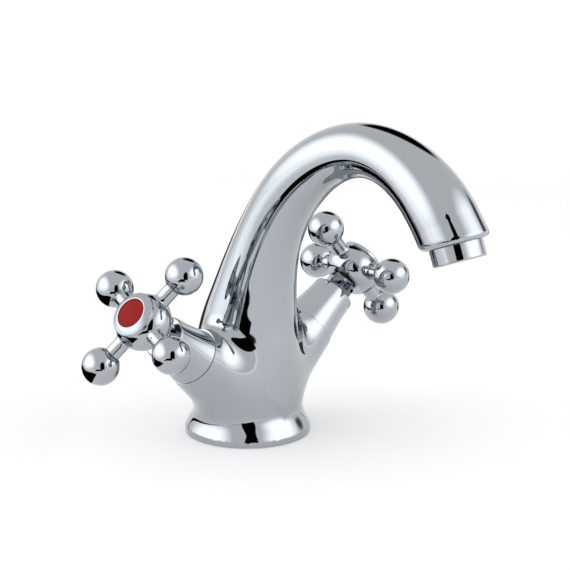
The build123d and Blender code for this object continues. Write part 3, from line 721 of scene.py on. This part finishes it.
def cap_outline():
    """Bevelled cap with a spigot below and a recess for the disc."""
    base = ARMS + HUB_FRONT
    top, rim_top, floor = base + CAP_HEIGHT, base + CAP_RIM, base + CAP_HEIGHT - INDEX_RECESS
    bead_r = INDEX_R + INDEX_BEAD
    middle = (bead_r + CAP_BULGE * (CAP_R - bead_r), rim_top + CAP_BULGE * (top - rim_top))
    bevel = arc_through((CAP_R, rim_top), middle, (bead_r, top), CURVE_STEPS)
    recess_r = INDEX_R + INDEX_FIT
    corners = [(0, base - CAP_SPIGOT), (CAP_SPIGOT_R, base - CAP_SPIGOT), (CAP_SPIGOT_R, base)]
    corners += [(CAP_R, base, CAP_FILLET), (*bevel[0], CAP_FILLET)] + bevel[BEVEL_TRIM:-BEVEL_TRIM]
    corners += [(*bevel[-1], CAP_FILLET / 2), (recess_r, top, CAP_FILLET / 2), (recess_r, floor), (0, floor)]
    return rounded(corners)


def index_outline():
    """Slightly domed disc that lies in the cap's recess."""
    top = ARMS + HUB_FRONT + CAP_HEIGHT
    dome_r = (INDEX_R**2 + INDEX_DOME**2) / (2 * INDEX_DOME)
    dome = []
    for share in np.linspace(1, 0, CURVE_STEPS):
        r = INDEX_R * share
        dome.append((r, top - dome_r + sqrt(dome_r**2 - r * r)))
    return [(0, top - INDEX_RECESS), (INDEX_R, top - INDEX_RECESS)] + dome


def aerator_outline():
    """Ring below the outlet, with its threaded part in the socket and a lip at its lower end."""
    return rounded([
        (AERATOR_BORE_R, -AERATOR_THREAD), (AERATOR_THREAD_R, -AERATOR_THREAD), (AERATOR_THREAD_R, 0),
        (AERATOR_R, 0, AERATOR_TOP_EDGE), (AERATOR_R, AERATOR_LENGTH, AERATOR_EDGE),
        (AERATOR_LIP_R, AERATOR_LENGTH, AERATOR_LIP_EDGE), (AERATOR_LIP_R, AERATOR_LENGTH - AERATOR_LIP),
        (AERATOR_BORE_R, AERATOR_LENGTH - AERATOR_LIP),
    ])


# Materials

def new_material(name):
    """Node material with its nodes, links and shader."""
    material = bpy.data.materials.new(name)
    material.use_nodes = True
    nodes, links = material.node_tree.nodes, material.node_tree.links
    return material, nodes, links, nodes["Principled BSDF"]


def mottled(name, darker, lighter, metallic, roughness, scale, bump, shine):
    """Material whose colour, roughness and surface vary finely over the object."""
    material, nodes, links, shader = new_material(name)
    place = nodes.new("ShaderNodeTexCoord")
    noise = nodes.new("ShaderNodeTexNoise")
    noise.inputs["Scale"].default_value = scale
    noise.inputs["Detail"].default_value = NOISE_DETAIL
    links.new(place.outputs["Object"], noise.inputs["Vector"])
    mix = nodes.new("ShaderNodeMix")
    mix.data_type = "RGBA"
    mix.inputs["A"].default_value = (*darker, 1)
    mix.inputs["B"].default_value = (*lighter, 1)
    links.new(noise.outputs["Fac"], mix.inputs["Factor"])
    links.new(mix.outputs["Result"], shader.inputs["Base Color"])
    rough = nodes.new("ShaderNodeMapRange")
    rough.inputs["To Min"].default_value, rough.inputs["To Max"].default_value = roughness
    links.new(noise.outputs["Fac"], rough.inputs["Value"])
    links.new(rough.outputs["Result"], shader.inputs["Roughness"])
    bumps = nodes.new("ShaderNodeBump")
    bumps.inputs["Strength"].default_value = bump
    bumps.inputs["Distance"].default_value = BUMP_HEIGHT
    links.new(noise.outputs["Fac"], bumps.inputs["Height"])
    links.new(bumps.outputs["Normal"], shader.inputs["Normal"])
    shader.inputs["Metallic"].default_value = metallic
    shader.inputs["Specular IOR Level"].default_value = shine
    return material


MATERIALS = {slot: mottled(*finish) for slot, finish in FINISHES.items()}


# Pieces

def finish_cad_nodes():
    """Gives each carried-over node the finish of its slot in the record."""
    for subpart in frame["record"]["subparts"]:
        mesh = frame["nodes"][subpart["node"]].data
        mesh.materials.clear()
        mesh.materials.append(MATERIALS[subpart["material_slot"]])


def build_body():
    """Casting, aerator ring and the two bonnets."""
    body, chrome = "faucet_body", MATERIALS["chrome"]
    add_object("casting", casting_mesh(), body, "chrome", chrome, "body_casting")
    add_turned("aerator_ring", aerator_outline(), jet_matrix(), body, "chrome", chrome, "aerator_housing")
    for side in ("hot", "cold"):
        matrix = valve_matrix(side)
        add_turned(f"{side}_shroud", bonnet_outline(), matrix, body, "chrome", chrome, f"{side}_bonnet")


def build_handle(side):
    """Hub, ball arms, cap and disc of one handle."""
    body, chrome = f"{side}_handle", MATERIALS["chrome"]
    matrix = valve_matrix(side, REST_ANGLE[side])
    add_turned(f"{side}_hub", hub_outline(), matrix, body, "chrome", chrome, f"{side}_handle_hub")
    for k in range(ARM_COUNT):
        turn = Matrix.Translation((0, 0, ARMS)) @ Matrix.Rotation(2 * pi * k / ARM_COUNT, 4, "Z")
        arm = matrix @ turn @ Matrix.Rotation(pi / 2, 4, "Y")
        add_turned(f"{side}_arm_{k + 1}", arm_outline(), arm, body, "chrome", chrome, f"{side}_handle_arms")
    add_turned(f"{side}_cap", cap_outline(), matrix, body, "chrome", chrome, f"{side}_index_cap")
    index = MATERIALS[f"{side}_index"]
    add_turned(f"{side}_index", index_outline(), matrix, body, f"{side}_index", index, f"{side}_index_disc")


# Studio

def camera_axes():
    """Directions to the camera's right, up, and back from the object to the camera."""
    azimuth, elevation = radians(CAMERA_AZIMUTH), radians(CAMERA_ELEVATION)
    right = Vector((cos(azimuth), sin(azimuth), 0))
    back = Vector((sin(azimuth) * cos(elevation), -cos(azimuth) * cos(elevation), sin(elevation)))
    return right, back.cross(right), back


def build_camera():
    """Camera at the photograph's angle."""
    right, up, back = camera_axes()
    data = bpy.data.cameras.new("camera")
    data.sensor_width = SENSOR_WIDTH
    data.lens = CAMERA_FOCAL / PHOTO_WIDTH * SENSOR_WIDTH
    camera = bpy.data.objects.new("camera", data)
    bpy.context.scene.collection.objects.link(camera)
    place = (CAMERA_RIGHT * right + CAMERA_UP * up + CAMERA_DISTANCE * back) * MM
    camera.matrix_world = Matrix.Translation(place) @ Matrix((right, up, back)).transposed().to_4x4()
    bpy.context.scene.camera = camera


def shows_background(nodes, links):
    """1 for rays from the camera and for mirrored or refracted rays, 0 for the rest."""
    path = nodes.new("ShaderNodeLightPath")
    either = nodes.new("ShaderNodeMath")
    either.operation = "MAXIMUM"
    links.new(path.outputs["Is Camera Ray"], either.inputs[0])
    links.new(path.outputs["Is Glossy Ray"], either.inputs[1])
    shown = nodes.new("ShaderNodeMath")
    shown.operation = "MAXIMUM"
    links.new(either.outputs[0], shown.inputs[0])
    links.new(path.outputs["Is Transmission Ray"], shown.inputs[1])
    return shown.outputs[0]


def build_world():
    """Even white surroundings."""
    world = bpy.data.worlds.new("studio")
    bpy.context.scene.world = world
    world.use_nodes = True
    nodes, links = world.node_tree.nodes, world.node_tree.links
    strength = nodes.new("ShaderNodeMapRange")
    strength.inputs["To Min"].default_value = WORLD_LIGHT
    strength.inputs["To Max"].default_value = 1
    links.new(shows_background(nodes, links), strength.inputs["Value"])
    links.new(strength.outputs["Result"], nodes["Background"].inputs["Strength"])
    nodes["Background"].inputs["Color"].default_value = (1, 1, 1, 1)


def build_floor():
    """Pale floor that brightens to white with distance."""
    mesh = bpy.data.meshes.new("floor")
    corners = [(FLOOR_HALF * x, FLOOR_HALF * y, 0) for x, y, _ in SQUARE]
    mesh.from_pydata(corners, [], [(0, 1, 2, 3)])
    floor = bpy.data.objects.new("floor", mesh)
    floor.location.z = -FLOOR_DROP
    bpy.context.scene.collection.objects.link(floor)
    material, nodes, links, shader = new_material("pale_floor")
    shader.inputs["Base Color"].default_value = (FLOOR_COLOUR, FLOOR_COLOUR, FLOOR_COLOUR, 1)
    shader.inputs["Roughness"].default_value = FLOOR_ROUGHNESS
    place = nodes.new("ShaderNodeTexCoord")
    distance = nodes.new("ShaderNodeVectorMath")
    distance.operation = "LENGTH"
    lift = nodes.new("ShaderNodeMapRange")
    lift.inputs["From Min"].default_value, lift.inputs["From Max"].default_value = FLOOR_REACH
    lift.inputs["To Min"].default_value, lift.inputs["To Max"].default_value = FLOOR_LIFT
    links.new(place.outputs["Object"], distance.inputs[0])
    links.new(distance.outputs["Value"], lift.inputs["Value"])
    links.new(lift.outputs["Result"], shader.inputs["Emission Strength"])
    links.new(shows_background(nodes, links), shader.inputs["Emission Color"])
    mesh.materials.append(material)


def studio_direction(turn, rise):
    """Direction from the object, turn degrees to the right of the camera's and rise degrees up."""
    right, _, back = camera_axes()
    ahead = Vector((back.x, back.y, 0)).normalized()
    turn, rise = radians(turn), radians(rise)
    return (ahead * cos(turn) + right * sin(turn)) * cos(rise) + Vector((0, 0, sin(rise)))


def add_stage_sheet(name, vertices, faces, strength, soft=0.0):
    """Glowing or dark sheet of the studio, seen in mirrors only. A soft one fades out towards its edge."""
    mesh = bpy.data.meshes.new(name)
    mesh.from_pydata(vertices, [], faces)
    sheet = bpy.data.objects.new(name, mesh)
    bpy.context.scene.collection.objects.link(sheet)
    sheet.visible_camera = False
    sheet.visible_shadow = False
    sheet.visible_diffuse = strength > DARK_GLOW
    material = bpy.data.materials.new(name)
    material.use_nodes = True
    nodes, links = material.node_tree.nodes, material.node_tree.links
    nodes.clear()
    output = nodes.new("ShaderNodeOutputMaterial")
    glow = nodes.new("ShaderNodeEmission")
    glow.inputs["Strength"].default_value = strength
    surface = glow
    if soft:
        place = nodes.new("ShaderNodeTexCoord")
        round_fade = nodes.new("ShaderNodeTexGradient")
        round_fade.gradient_type = "SPHERICAL"
        fade = nodes.new("ShaderNodeMapRange")
        fade.interpolation_type = "SMOOTHSTEP"
        fade.inputs["From Max"].default_value = soft
        surface = nodes.new("ShaderNodeMixShader")
        clear = nodes.new("ShaderNodeBsdfTransparent")
        links.new(place.outputs["Object"], round_fade.inputs["Vector"])
        links.new(round_fade.outputs["Fac"], fade.inputs["Value"])
        links.new(fade.outputs["Result"], surface.inputs[0])
        links.new(clear.outputs[0], surface.inputs[1])
        links.new(glow.outputs[0], surface.inputs[2])
    links.new(surface.outputs[0], output.inputs["Surface"])
    mesh.materials.append(material)
    return sheet


def studio_card(name, turn, rise, width, height, strength, soft):
    """Flat card that faces the object."""
    card = add_stage_sheet(name, SQUARE, [(0, 1, 2, 3)], strength, soft)
    outwards = studio_direction(turn, rise)
    card.rotation_mode = "QUATERNION"
    card.rotation_quaternion = outwards.to_track_quat("Z", "Y")
    card.location = STUDIO_CENTRE + outwards * CARD_DISTANCE
    card.scale = (width / 2, height / 2, 1)


def studio_strip(name, outline, strength):
    """Card around the object, outlined by (turn, rise) directions up one side and down the other."""
    points = [STUDIO_CENTRE + studio_direction(turn, rise) * STRIP_DISTANCE for turn, rise in outline]
    count = len(points)
    faces = [(k, k + 1, count - 2 - k, count - 1 - k) for k in range(count // 2 - 1)]
    add_stage_sheet(name, [tuple(point) for point in points], faces, strength)


def studio_tent():
    """Pale grey round tent about the set, open low down behind the object."""
    turns, rises = range(-180, 181, TENT_STEP), range(TENT_LOW_RISE, 91, TENT_STEP)
    vertices = [tuple(studio_direction(t, e) * TENT_R) for e in rises for t in turns]
    faces = []
    for i, rise in enumerate(rises[:-1]):
        for k, turn in enumerate(turns[:-1]):
            if abs(turn + TENT_STEP / 2) < TENT_OPEN_TURN or rise >= TENT_OPEN_RISE:
                corner = i * len(turns) + k
                faces.append((corner, corner + 1, corner + 1 + len(turns), corner + len(turns)))
    add_stage_sheet("tent", vertices, faces, TENT_GLOW)


def floor_card(name, outline, strength):
    """Card lying on the floor, outlined by (right, towards the camera) points about the foot."""
    right, ahead = camera_axes()[0], studio_direction(0, 0)
    points = [right * x + ahead * y for x, y in outline]
    vertices = [(point.x, point.y, FLOOR_CARD_Z) for point in points]
    add_stage_sheet(name, vertices, [tuple(range(len(vertices)))], strength)


def floor_glow(name, right_by, ahead_by, radius, strength):
    """Soft round patch of light on the floor, placed to the right of the foot and towards the camera."""
    patch = add_stage_sheet(name, SQUARE, [(0, 1, 2, 3)], strength, soft=1.0)
    place = camera_axes()[0] * right_by + studio_direction(0, 0) * ahead_by
    patch.location = (place.x, place.y, FLOOR_CARD_Z / 2)
    patch.scale = (radius, radius, 1)
    patch.visible_diffuse = False


def build_studio():
    """Floor, tent, soft lights and the dark cards that the chrome mirrors."""
    build_world()
    build_floor()
    studio_tent()
    studio_card("left_softbox", turn=-85, rise=22, width=3.3, height=1.9, strength=2.7, soft=0.85)
    studio_card("right_softbox", turn=74, rise=25, width=2.5, height=1.6, strength=2.5, soft=0.8)
    studio_strip("front_strip", FRONT_STRIP, strength=0.0)
    floor_card("front_dark", FRONT_DARK, strength=0.0)
    floor_card("left_dark", LEFT_DARK, strength=0.0)
    floor_card("back_dark_floor", BACK_DARK, strength=0.05)
    floor_glow("left_floor_glow", right_by=-0.9, ahead_by=0.0, radius=0.65, strength=1.9)
    studio_card("back_dark", turn=168, rise=38, width=0.9, height=0.9, strength=0.0, soft=0.3)
    studio_card("back_grey", turn=125, rise=14, width=0.6, height=0.6, strength=0.1, soft=0.6)


finish_cad_nodes()
build_body()
for handle_side in ("hot", "cold"):
    build_handle(handle_side)
build_camera()
build_studio()
bpy.context.scene.view_settings.view_transform = "Standard"
